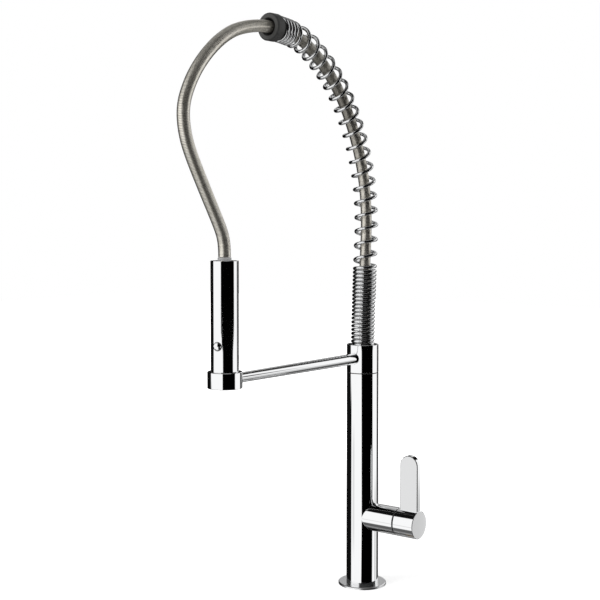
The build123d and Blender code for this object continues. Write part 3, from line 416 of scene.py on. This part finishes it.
def tube_mesh(name, centres, directions, radius, sides, v_mm):
    """A closed tube around these centres. radius is one number, or a row of numbers for each ring."""
    rings = len(centres)
    across, up = frames_along(directions)
    angle = np.arange(sides) * FULL_TURN / sides
    radius = np.broadcast_to(radius, (rings, sides))
    cos, sin = np.cos(angle), np.sin(angle)
    out = across[:, None, :] * cos[None, :, None] + up[:, None, :] * sin[None, :, None]
    points = (centres[:, None, :] + out * radius[:, :, None]).reshape(-1, 3)

    i = np.arange(rings - 1)[:, None] * sides
    j = np.arange(sides)[None, :]
    k = (j + 1) % sides
    faces = np.stack([i + j, i + k, i + sides + k, i + sides + j], axis=-1).reshape(-1, 4).tolist()
    faces.append(list(range(sides))[::-1])
    faces.append(list(range((rings - 1) * sides, rings * sides)))

    u0, u1, v0, v1 = (np.broadcast_to(row, (rings - 1, sides)) for row in (
        j / sides, (j + 1) / sides, v_mm[:-1, None], v_mm[1:, None]))
    wall = np.stack([u0, v0, u1, v0, u1, v1, u0, v1], axis=-1).reshape(-1, 2)
    cap = np.stack([cos * 0.5 + 0.5, sin * 0.5], axis=-1)
    uv = np.concatenate([wall, cap[::-1], cap])

    mesh = bpy.data.meshes.new(name)
    mesh.from_pydata(points.tolist(), [], faces)
    mesh.uv_layers.new(name="UVMap").data.foreach_set("uv", uv.astype(np.float32).ravel())
    smooth = np.ones(len(faces), dtype=bool)
    smooth[-2:] = False  # the two caps
    mesh.polygons.foreach_set("use_smooth", smooth)
    mesh.update()
    return mesh


def wire_mesh(name, points, thick_mm, sides):
    """A round wire through these points."""
    return tube_mesh(name, points, unit(np.gradient(points, axis=0)), thick_mm / 2 * MM, sides,
                     lengths_along(points) * 1000)


# ================================================================ materials
WIPE_MARKS = (38.0, 38.0, 9.0)
HAZE_GRAIN = 900.0
RIPPLE_GRAIN, RIPPLE_STRENGTH, RIPPLE_DEPTH = 55.0, 0.015, 0.2 * MM
SATIN_ROUGHER, SATIN_FADE = 0.26, 0.2 * MM


def surface(name, metallic=0.0):
    """A new material: itself, its tree, its shader and the place on the object."""
    material = bpy.data.materials.new(name)
    material.use_nodes = True
    t = Tree(material.node_tree)
    shader = t.add("ShaderNodeBsdfPrincipled")
    shader.inputs["Metallic"].default_value = metallic
    t.feed(t.add("ShaderNodeOutputMaterial").inputs["Surface"], shader.outputs[0])
    return material, t, shader, t.add("ShaderNodeTexCoord").outputs["Object"]


def chrome_like(name, bright, dull, rough, edge=0.2 * MM, dome=None, satin_below=None):
    """Polished plating: clear, with faint wipe marks, a few dried drops and softly broken edges."""
    material, t, shader, place = surface(name, 1.0)
    wipe = t.streaks(place, WIPE_MARKS, 5.0, 0.62, 0.6)
    haze = t.noise(place, HAZE_GRAIN, 2.0, 0.6)
    smear = t.math("MULTIPLY", t.span(wipe, 0.52, 0.74), t.span(haze, 0.30, 0.75, 0.6, 1.0))
    roughness = t.span(smear, 0.0, 1.0, *rough)
    if satin_below is not None:
        satin = t.span(t.split(place)["Z"], satin_below + SATIN_FADE, satin_below, 0.0, SATIN_ROUGHER)
        roughness = t.math("ADD", roughness, satin)
    t.feed(shader.inputs["Roughness"], roughness)
    t.feed(shader.inputs["Base Color"], t.mix(t.math("MULTIPLY", smear, 0.5), bright, dull))
    ripple = t.noise(place, RIPPLE_GRAIN, 2.0, 0.4)
    normal = t.bump(ripple, RIPPLE_STRENGTH, RIPPLE_DEPTH, t.soft_edge(edge))
    if dome is not None:
        centre, axis, steep = dome
        away = t.vector("SUBTRACT", place, centre)
        along = t.vector("DOT_PRODUCT", away, axis)
        from_axis = t.math("SUBTRACT", t.vector("DOT_PRODUCT", away, away), t.math("MULTIPLY", along, along))
        normal = t.bump(t.math("MULTIPLY", from_axis, -steep), 1.0, 1.0, normal)
    t.feed(shader.inputs["Normal"], normal)
    return material


def cast_brass(name, light, dark, rough):
    """Turned brass: a slight cloud of colour and fine turning marks."""
    material, t, shader, place = surface(name, 1.0)
    cloud = t.noise(place, 70.0, 4.0, 0.6)
    turned = t.streaks(place, (60.0, 60.0, 2600.0))
    t.feed(shader.inputs["Base Color"], t.mix(t.span(cloud, 0.3, 0.75), light, dark))
    t.feed(shader.inputs["Roughness"], t.span(cloud, 0.3, 0.8, *rough))
    t.feed(shader.inputs["Normal"], t.bump(turned, 0.25, 0.1 * MM, t.soft_edge(0.3 * MM)))
    return material


def plain_steel(name, light, dark, rough):
    """Steel with a fine brushed grain."""
    material, t, shader, place = surface(name, 1.0)
    cloud = t.noise(place, 120.0)
    brushed = t.streaks(place, (400.0, 400.0, 3000.0))
    t.feed(shader.inputs["Base Color"], t.mix(cloud, light, dark))
    t.feed(shader.inputs["Roughness"], t.span(brushed, 0.2, 0.8, *rough))
    t.feed(shader.inputs["Normal"], t.bump(brushed, 0.2, 0.05 * MM, t.soft_edge(0.2 * MM)))
    return material


def drawn_copper(name, light, dark, rough):
    """Drawn pipe: darker clouds where it has dulled and fine lines along it."""
    material, t, shader, place = surface(name, 1.0)
    cloud = t.noise(place, 90.0, 4.0, 0.65)
    drawn = t.streaks(place, (2200.0, 2200.0, 40.0))
    t.feed(shader.inputs["Base Color"], t.mix(t.span(cloud, 0.35, 0.75), light, dark))
    t.feed(shader.inputs["Roughness"], t.span(cloud, 0.3, 0.8, *rough))
    t.feed(shader.inputs["Normal"], t.bump(drawn, 0.2, 0.05 * MM))
    return material


def moulded(name, light, dark, rough, grain, depth, edge=0.3 * MM, gloss=0.5, rubbed=None, mouth=None):
    """Moulded plastic, rubber or ceramic: fine grain, slight cloud of colour, edges a little rubbed."""
    material, t, shader, place = surface(name)
    cloud = t.noise(place, 60.0, 4.0, 0.6)
    fine = t.noise(place, grain, 3.0, 0.6)
    colour = t.mix(t.span(cloud, 0.3, 0.72), light, dark)
    if mouth is not None:
        axis, face_at, tone = mouth
        along = t.vector("DOT_PRODUCT", place, axis)
        colour = t.mix(t.span(along, face_at - 0.4 * MM, face_at - 0.1 * MM), colour, tone)
    if rubbed is not None:
        colour = t.mix(t.math("MULTIPLY", t.worn_edge(edge * 1.6), 0.55), colour, rubbed)
    t.feed(shader.inputs["Base Color"], colour)
    t.feed(shader.inputs["Roughness"], t.span(fine, 0.25, 0.8, *rough))
    shader.inputs["Specular IOR Level"].default_value = gloss
    t.feed(shader.inputs["Normal"], t.bump(fine, 0.6, depth, t.soft_edge(edge)))
    return material


RIB_PITCH = 1.45  # mm between the ribs of the hose
# painted shade of the spring's coils on the arch hose: its dark tone and how much of it is mixed in
PAINTED_SHADE_TONE, PAINTED_SHADE_SHARE = rgb(0.16, 0.15, 0.13), 0.62
PAINTED_SHADE_Y = (-0.186, -0.176)  # the painted shade ends here, where the hose leaves the collar (m)
PAINTED_SHADE_Z = (0.47, 0.58)  # and grows between these heights (m)
SKIN_COAT = {"Coat Weight": 0.3, "Coat Roughness": 0.12, "Coat IOR": 1.45}


def ribbed_hose(name, light, dark, groove_tone):
    """Metallised strip wound in a spiral under a clear skin. u runs round the hose, v is the distance in mm."""
    material, t, shader, place = surface(name, 0.92)
    uv = t.split(t.add("ShaderNodeUVMap", uv_map="UVMap").outputs["UV"])
    wound = t.math("SUBTRACT", t.math("DIVIDE", uv["Y"], RIB_PITCH), uv["X"])
    ridge = t.math("SINE", t.math("MULTIPLY", t.math("FRACT", wound), FULL_TURN))
    groove = t.span(ridge, -0.30, -0.90)
    turn = t.add("ShaderNodeCombineXYZ")
    t.feed(turn.inputs["X"], t.math("MULTIPLY", t.math("FLOOR", wound), 0.37))
    uneven = t.noise(turn.outputs[0], 1.0, 2.0, 0.7)
    cloud = t.noise(place, 45.0, 4.0, 0.6)
    fine = t.noise(place, 1500.0, 2.0)
    colour = t.mix(t.span(cloud, 0.3, 0.7), light, dark)
    colour = t.mix(t.math("MULTIPLY", groove, t.span(uneven, 0.35, 0.65, 0.40, 0.85)), colour, groove_tone)
    # painted shade: the skin is darkened where the spring's coils would shade it, most of all over the top of
    # the arch
    at = t.split(place)
    painted_coil_shade = t.math("MULTIPLY", t.span(at["Y"], *PAINTED_SHADE_Y), t.span(at["Z"], *PAINTED_SHADE_Z, 0.15, 1.0))
    colour = t.mix(t.math("MULTIPLY", painted_coil_shade, PAINTED_SHADE_SHARE), colour, PAINTED_SHADE_TONE)
    t.feed(shader.inputs["Base Color"], colour)
    t.feed(shader.inputs["Roughness"],
           t.math("ADD", t.span(fine, 0.2, 0.8, 0.25, 0.33), t.math("MULTIPLY", groove, 0.1)))
    for socket, value in SKIN_COAT.items():
        shader.inputs[socket].default_value = value
    t.feed(shader.inputs["Normal"], t.bump(ridge, 0.2, 0.1 * MM))
    return material


# the button's face: a point on its axis, the axis and how steeply the face falls away from the middle
BUTTON_DOME = ((-0.00114, -0.25118, 0.3083), (0.15643, -0.98769, 0.0), 75.0)
# the collar's mouth: its axis, the distance along it of the open face (m) and that face's tone
COLLAR_MOUTH = ((0.0, -0.99966, -0.02617), 0.16370, rgb(0.070, 0.070, 0.068))
FLANGE_TOP = 2.6 * MM

# what makes each slot's material, and its settings
FINISHES = {
    "chrome": (chrome_like, dict(
        bright=rgb(0.94, 0.945, 0.95), dull=rgb(0.86, 0.865, 0.87), rough=(0.018, 0.075),
        satin_below=FLANGE_TOP)),
    "chrome_wire": (chrome_like, dict(
        bright=rgb(0.85, 0.855, 0.86), dull=rgb(0.66, 0.665, 0.67), rough=(0.03, 0.11), edge=0.1 * MM)),
    "brass": (cast_brass, dict(
        light=rgb(0.76, 0.55, 0.25), dark=rgb(0.60, 0.40, 0.17), rough=(0.22, 0.38))),
    "steel": (plain_steel, dict(
        light=rgb(0.62, 0.62, 0.61), dark=grey(0.50), rough=(0.22, 0.36))),
    "copper_pipe": (drawn_copper, dict(
        light=rgb(0.80, 0.42, 0.28), dark=rgb(0.48, 0.24, 0.15), rough=(0.24, 0.42))),
    "seal_rubber": (moulded, dict(
        light=rgb(0.030, 0.030, 0.031), dark=grey(0.018), rough=(0.45, 0.65),
        grain=700.0, depth=0.05 * MM)),
    "seam_black": (moulded, dict(
        light=grey(0.020), dark=grey(0.012), rough=(0.40, 0.60), grain=900.0, depth=0.04 * MM)),
    "collar_grey": (moulded, dict(
        light=rgb(0.040, 0.040, 0.039), dark=rgb(0.031, 0.031, 0.030), rough=(0.42, 0.60),
        grain=2100.0, depth=0.05 * MM, edge=0.6 * MM, gloss=0.35, rubbed=rgb(0.08, 0.08, 0.078),
        mouth=COLLAR_MOUTH)),
    "cartridge_white": (moulded, dict(
        light=rgb(0.80, 0.79, 0.76), dark=rgb(0.72, 0.71, 0.68), rough=(0.35, 0.5),
        grain=800.0, depth=0.03 * MM)),
    "ceramic": (moulded, dict(
        light=rgb(0.82, 0.80, 0.74), dark=rgb(0.76, 0.74, 0.69), rough=(0.12, 0.2),
        grain=1200.0, depth=0.01 * MM)),
    "bearing_plastic": (moulded, dict(
        light=rgb(0.58, 0.57, 0.53), dark=rgb(0.50, 0.49, 0.46), rough=(0.38, 0.5),
        grain=900.0, depth=0.03 * MM)),
    "hose_grey": (ribbed_hose, dict(
        light=rgb(0.98, 0.94, 0.85), dark=rgb(0.90, 0.86, 0.765), groove_tone=rgb(0.14, 0.125, 0.095))),
    "ferrule_grey": (moulded, dict(
        light=grey(0.50), dark=grey(0.43), rough=(0.25, 0.4), grain=1600.0, depth=0.03 * MM,
        edge=0.4 * MM, rubbed=grey(0.62))),
    "nozzle_grey": (moulded, dict(
        light=rgb(0.30, 0.30, 0.31), dark=rgb(0.24, 0.24, 0.25), rough=(0.4, 0.55),
        grain=1500.0, depth=0.04 * MM, gloss=0.4, rubbed=rgb(0.40, 0.40, 0.41))),
    "button_chrome": (chrome_like, dict(
        bright=rgb(0.93, 0.935, 0.94), dull=rgb(0.80, 0.805, 0.81), rough=(0.02, 0.09), edge=0.3 * MM,
        dome=BUTTON_DOME)),
}
materials = {slot: make(slot, **settings) for slot, (make, settings) in FINISHES.items()}
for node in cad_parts.values():
    for used in node.material_slots:
        slot = used.material.name.split(".")[0] if used.material else None
        if slot in materials:
            used.material = materials[slot]


def add_piece(name, mesh, slot):
    piece = link(bpy.data.objects.new(name, mesh))
    mesh.materials.append(materials[slot])
    return piece


# ================================================================ hose (sizes in mm)
HOSE_R = 6.5
RIB_DEPTH = 0.13


def hose_piece(name, points, lengths, per_rib, sides, from_mm):
    """Ribs wind in one spiral. from_mm is the distance at the start, so two stretches join."""
    end = lengths[-1]
    at = np.linspace(0.0, end, int(end / (RIB_PITCH * MM) * per_rib) + 1)
    centres, directions = read_route(points, lengths, at)
    v_mm = at * 1000 + from_mm
    phase = v_mm[:, None] / RIB_PITCH - (np.arange(sides) / sides)[None, :]
    ridge = 0.5 + 0.5 * np.sin(phase * FULL_TURN)
    radius = (HOSE_R - RIB_DEPTH * (1 - ridge)) * MM
    return add_piece(name, tube_mesh(name, centres, directions, radius, sides, v_mm), "hose_grey")


arch_hose = hose_piece("arch_hose_skin", arch_points, arch_lengths, per_rib=4, sides=24, from_mm=0.0)
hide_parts("hose_arch")
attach(arch_hose, "spout")

free_hose = hose_piece("free_hose_skin", free_points, free_lengths, per_rib=5, sides=32, from_mm=ARCH_L)
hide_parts("hose_free")
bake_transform(free_hose)


# ================================================================ arch spring (sizes in mm)
WIRE_D = 4.1
COIL_R = (28.4 - WIRE_D) / 2
CLOSE_TURNS, CLOSE_PITCH = 19, 4.55
OPEN_TURNS = 18
END_TURNS, END_PITCH = 3, 5.2
COLLAR_L = 13.0
TANG = 3.4  # from each seat to the wire's end turn
# this far along the axis (mm) the wire is at this bearing round it (degrees)
TIP_ALONG, TIP_BEARING = 104.2, 217.0
PER_TURN = 40
FINE = 200
WIRE_SIDES = 14

# distance along the axis against the turn count
first_along = WIRE_D + TANG
last_along = ARCH_L - COLLAR_L - WIRE_D - TANG
ramps = (CLOSE_PITCH + END_PITCH) / 2
close_lengths = CLOSE_TURNS * CLOSE_PITCH + END_TURNS * END_PITCH
open_pitch = (last_along - first_along - close_lengths - ramps) / (OPEN_TURNS + 1)
all_turns = CLOSE_TURNS + OPEN_TURNS + END_TURNS + 2
turn_marks = [0, CLOSE_TURNS, CLOSE_TURNS + 1, all_turns - END_TURNS - 1, all_turns - END_TURNS, all_turns]
pitch_marks = [CLOSE_PITCH, CLOSE_PITCH, open_pitch, open_pitch, END_PITCH, END_PITCH]
fine_turns = np.arange(all_turns * FINE + 1) / FINE
fine_pitch = np.interp(fine_turns, turn_marks, pitch_marks)
fine_steps = (fine_pitch[1:] + fine_pitch[:-1]) / 2 / FINE
fine_along = first_along + np.concatenate([[0.0], np.cumsum(fine_steps)])
start_bearing = TIP_BEARING - 360.0 * np.interp(TIP_ALONG, fine_along, fine_turns)

# each end runs on in close turns until the wire lies on its seat
foot_turns = (WIRE_D / 2 + TANG) / CLOSE_PITCH
head_turns = (WIRE_D / 2 + TANG) / END_PITCH
wire_count = int((foot_turns + all_turns + head_turns) * PER_TURN)
turns = np.linspace(-foot_turns, all_turns + head_turns, wire_count)
before = np.minimum(turns, 0.0) * CLOSE_PITCH
after = np.maximum(turns - all_turns, 0.0) * END_PITCH
along = np.interp(turns, fine_turns, fine_along) + before + after

centres, ahead = read_route(arch_points, arch_lengths, along * MM)
coil_angle = np.radians(start_bearing + 360.0 * turns)[:, None]
coil_side = np.array([1.0, 0.0, 0.0])
coil_out = coil_side * np.cos(coil_angle) + np.cross(ahead, coil_side) * np.sin(coil_angle)
wire_points = centres + coil_out * COIL_R * MM
spring = add_piece("arch_spring_wire", wire_mesh("arch_spring_wire", wire_points, WIRE_D, WIRE_SIDES),
                   "chrome_wire")
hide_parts("arch_spring")
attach(spring, "spout")


# ================================================================ button spring, pressed flat by the button
BUTTON_AXIS = np.array([0.15643447, -0.98768834, 0.0])
BUTTON_SIDE = np.array([0.98768834, 0.15643447, 0.0])
BUTTON_UP = np.array([0.0, 0.0, 1.0])
RING_AT = np.array([0.0, -0.251, 0.3083])  # on the spray's axis at the button's height (m)
RETURN_FOOT = 5.81  # from the spray's axis to the spring's inner end (mm)
RETURN_L = 4.06
RETURN_D, RETURN_WIRE, RETURN_TURNS = 8.0, 0.6, 3
RETURN_PER_TURN = 28
RETURN_SIDES = 10

return_turns = np.linspace(0.0, RETURN_TURNS, RETURN_TURNS * RETURN_PER_TURN + 1)[:, None]
return_angle = return_turns * FULL_TURN
return_rise = RETURN_FOOT + RETURN_WIRE / 2 + (RETURN_L - RETURN_WIRE) * return_turns / RETURN_TURNS
round_axis = BUTTON_SIDE * np.cos(return_angle) + BUTTON_UP * np.sin(return_angle)
return_points = RING_AT + (BUTTON_AXIS * return_rise + round_axis * (RETURN_D - RETURN_WIRE) / 2) * MM
return_spring = add_piece(
    "button_return_spring", wire_mesh("button_return_spring", return_points, RETURN_WIRE, RETURN_SIDES),
    "steel")
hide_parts("button_spring")
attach(return_spring, "spray")
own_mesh(return_spring)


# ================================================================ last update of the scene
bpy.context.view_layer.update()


def plain(box):
    return [[float(x) for x in corner] for corner in box]
